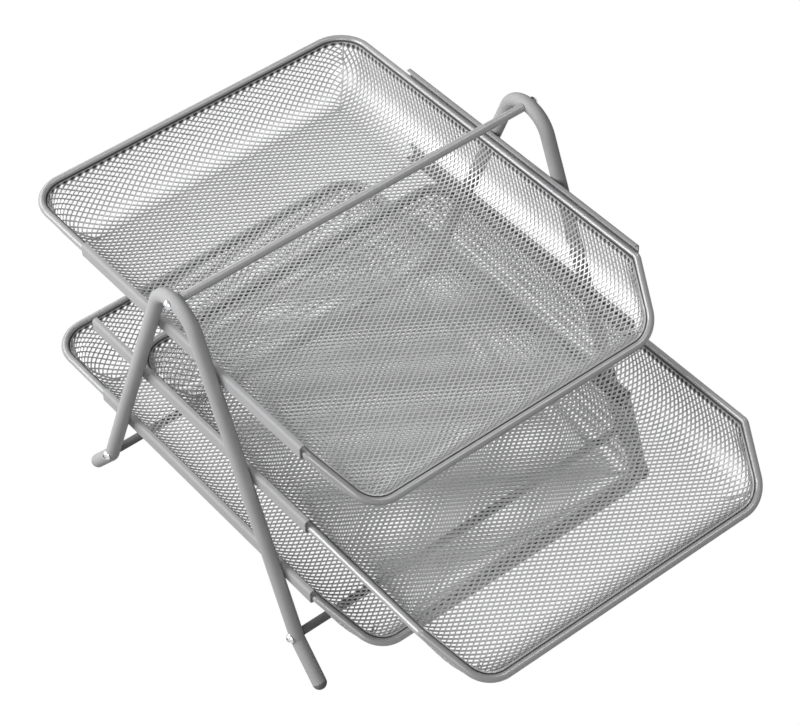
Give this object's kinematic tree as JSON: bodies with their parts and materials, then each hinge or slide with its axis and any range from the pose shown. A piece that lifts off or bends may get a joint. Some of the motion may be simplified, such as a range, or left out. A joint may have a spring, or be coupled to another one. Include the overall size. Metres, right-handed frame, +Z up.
{
  "type": "tiered desk organizer",
  "caption": "Stacked sliding paper trays of expanded metal mesh with round wire rims, carried by channel rails between A-shaped bent-tube side frames.",
  "frame": {"origin": "on the desk, under the middle of the part's box with its middle tray drawn out", "axes": "+X to the right seen from the front, +Y to the back, +Z up"},
  "size_m": [0.303, 0.4586, 0.265],
  "materials": {
    "frame_steel": "satin silver powder coat",
    "rail_steel": "satin silver powder coat",
    "rim_steel": "satin silver powder coat",
    "mesh_steel": "satin silver powder coat",
    "bar_steel": "satin silver powder coat",
    "zinc": "bright zinc",
    "foot_plastic": "moulded grey plastic"
  },
  "bodies": {
    "stand": {"frame_left": "frame_steel", "frame_right": "frame_steel", "foot_front_left": "foot_plastic", "foot_rear_left": "foot_plastic", "foot_front_right": "foot_plastic", "foot_rear_right": "foot_plastic", "top_bar": "bar_steel", "front_bar": "bar_steel", "rear_bar": "bar_steel", "screw_top_left": "zinc", "screw_front_left": "zinc", "screw_rear_left": "zinc", "screw_top_right": "zinc", "screw_front_right": "zinc", "screw_rear_right": "zinc", "rail_top_left": "rail_steel", "rail_middle_left": "rail_steel", "rail_bottom_left": "rail_steel", "rail_top_right": "rail_steel", "rail_middle_right": "rail_steel", "rail_bottom_right": "rail_steel"},
    "tray_top": {"rim_top": "rim_steel", "basket_top": "mesh_steel"},
    "tray_middle": {"rim_middle": "rim_steel", "basket_middle": "mesh_steel"},
    "tray_bottom": {"rim_bottom": "rim_steel", "basket_bottom": "mesh_steel"}
  },
  "joints": [
    {"name": "top_tray_slide", "type": "slide", "parent": "stand", "child": "tray_top", "axis": [0, -1, 0], "range_m": [0, 0.18]},
    {"name": "middle_tray_slide", "type": "slide", "parent": "stand", "child": "tray_middle", "axis": [0, -1, 0], "range_m": [-0.107, 0.073]},
    {"name": "bottom_tray_slide", "type": "slide", "parent": "stand", "child": "tray_bottom", "axis": [0, -1, 0], "range_m": [0, 0.18]}
  ]
}
